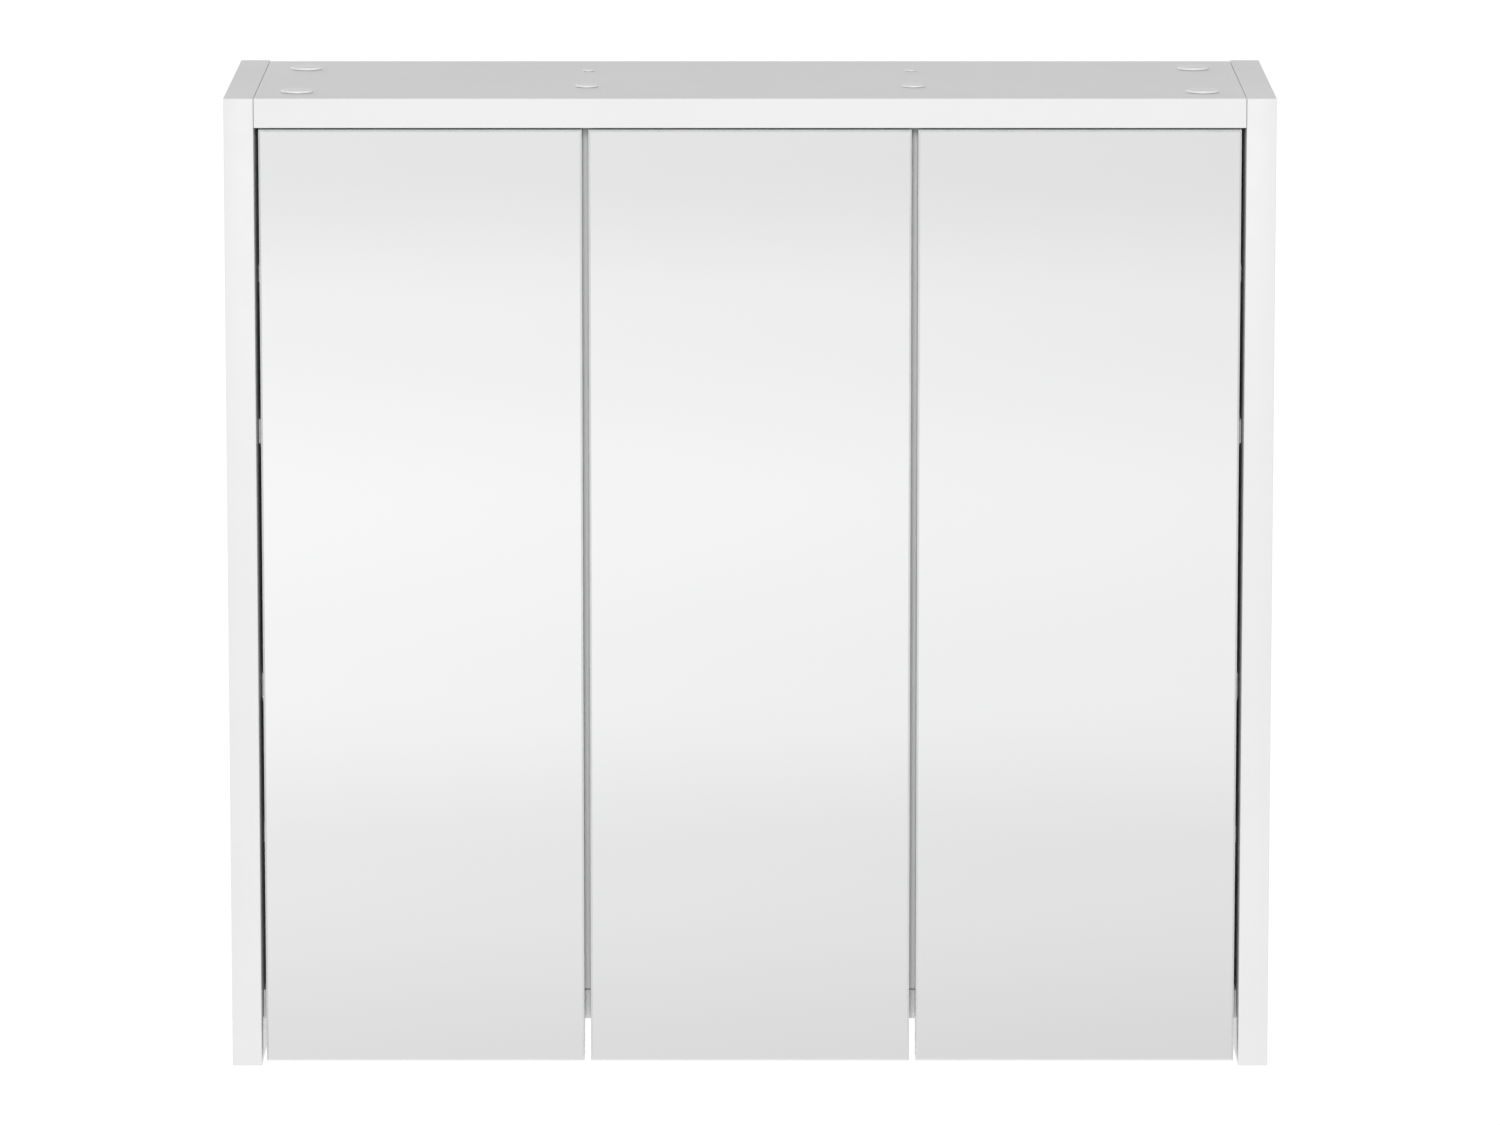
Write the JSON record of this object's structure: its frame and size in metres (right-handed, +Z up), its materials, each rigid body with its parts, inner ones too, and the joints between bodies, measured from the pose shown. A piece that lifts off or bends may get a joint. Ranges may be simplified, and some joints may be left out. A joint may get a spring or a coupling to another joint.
{
  "type": "hanging wall cabinet",
  "caption": "White wall cabinet whose full-height mirror doors sit between its side panels and overhang the bottom panel as a finger pull, on concealed cup hinges.",
  "frame": {"origin": "on the wall plane, midway between the two screws that the cabinet hangs on", "axes": "+X to the right seen from the front, +Y into the wall, +Z up"},
  "size_m": [0.64, 0.2, 0.604],
  "materials": {
    "white_board": "white melamine-faced chipboard with matching edge banding, satin",
    "back_board": "thin fibreboard, white lacquer on the front",
    "mirror_glass": "silvered glass with polished arris",
    "white_plastic": "moulded, satin to gloss",
    "nickel_plated_steel": "pressed steel, bright nickel plating",
    "zinc_plated_steel": "zinc plated, dull bright",
    "clear_rubber": "translucent soft bumper"
  },
  "bodies": {
    "cabinet": {"side_panel_left": "white_board", "side_panel_right": "white_board", "top_panel": "white_board", "bottom_panel": "white_board", "partition_left": "white_board", "partition_right": "white_board", "back_panel": "back_board", "shelf_left_upper": "white_board", "shelf_left_lower": "white_board", "shelf_middle_upper": "white_board", "shelf_middle_lower": "white_board", "shelf_right_upper": "white_board", "shelf_right_lower": "white_board", "cam_cover_front_left": "white_plastic", "cam_cover_front_right": "white_plastic", "cam_cover_rear_left": "white_plastic", "cam_cover_rear_right": "white_plastic", "cam_lock_front_left": "zinc_plated_steel", "cam_lock_front_right": "zinc_plated_steel", "cam_lock_rear_left": "zinc_plated_steel", "cam_lock_rear_right": "zinc_plated_steel", "screw_cap_left": "white_plastic", "screw_cap_right": "white_plastic", "hole_plug_left": "white_plastic", "hole_plug_right": "white_plastic", "hanger_plate_left": "zinc_plated_steel", "hanger_plate_right": "zinc_plated_steel", "bumper_left": "clear_rubber", "bumper_middle": "clear_rubber", "bumper_right": "clear_rubber", "left_hinge_upper_arm": "nickel_plated_steel", "left_hinge_upper_plate": "nickel_plated_steel", "left_hinge_lower_arm": "nickel_plated_steel", "left_hinge_lower_plate": "nickel_plated_steel", "middle_hinge_upper_arm": "nickel_plated_steel", "middle_hinge_upper_plate": "nickel_plated_steel", "middle_hinge_lower_arm": "nickel_plated_steel", "middle_hinge_lower_plate": "nickel_plated_steel", "right_hinge_upper_arm": "nickel_plated_steel", "right_hinge_upper_plate": "nickel_plated_steel", "right_hinge_lower_arm": "nickel_plated_steel", "right_hinge_lower_plate": "nickel_plated_steel"},
    "left_hinge_links": {"left_hinge_upper_link": "nickel_plated_steel", "left_hinge_lower_link": "nickel_plated_steel"},
    "left_door": {"door_board_left": "white_board", "mirror_left": "mirror_glass", "left_hinge_upper_cup": "nickel_plated_steel", "left_hinge_lower_cup": "nickel_plated_steel"},
    "middle_hinge_links": {"middle_hinge_upper_link": "nickel_plated_steel", "middle_hinge_lower_link": "nickel_plated_steel"},
    "middle_door": {"door_board_middle": "white_board", "mirror_middle": "mirror_glass", "middle_hinge_upper_cup": "nickel_plated_steel", "middle_hinge_lower_cup": "nickel_plated_steel"},
    "right_hinge_links": {"right_hinge_upper_link": "nickel_plated_steel", "right_hinge_lower_link": "nickel_plated_steel"},
    "right_door": {"door_board_right": "white_board", "mirror_right": "mirror_glass", "right_hinge_upper_cup": "nickel_plated_steel", "right_hinge_lower_cup": "nickel_plated_steel"}
  },
  "joints": [
    {"name": "left_link_turn", "type": "hinge", "parent": "cabinet", "child": "left_hinge_links", "pos_m": [-0.264, -0.171, -0.2385], "axis": [0, 0, 1], "range_deg": [0, 23.75]},
    {"name": "left_door_swing", "type": "hinge", "parent": "left_hinge_links", "child": "left_door", "pos_m": [-0.288, -0.1892, -0.2385], "axis": [0, 0, -1], "range_deg": [0, 118.75]},
    {"name": "middle_link_turn", "type": "hinge", "parent": "cabinet", "child": "middle_hinge_links", "pos_m": [-0.06333, -0.171, -0.2385], "axis": [0, 0, 1], "range_deg": [0, 23.75]},
    {"name": "middle_door_swing", "type": "hinge", "parent": "middle_hinge_links", "child": "middle_door", "pos_m": [-0.08733, -0.1892, -0.2385], "axis": [0, 0, -1], "range_deg": [0, 118.75]},
    {"name": "right_link_turn", "type": "hinge", "parent": "cabinet", "child": "right_hinge_links", "pos_m": [0.264, -0.171, -0.2385], "axis": [0, 0, -1], "range_deg": [0, 23.75]},
    {"name": "right_door_swing", "type": "hinge", "parent": "right_hinge_links", "child": "right_door", "pos_m": [0.288, -0.1892, -0.2385], "axis": [0, 0, 1], "range_deg": [0, 118.75]}
  ],
  "couplings": [
    {"joint": "left_link_turn", "follows": "left_door_swing", "ratio": 0.2},
    {"joint": "middle_link_turn", "follows": "middle_door_swing", "ratio": 0.2},
    {"joint": "right_link_turn", "follows": "right_door_swing", "ratio": 0.2}
  ]
}
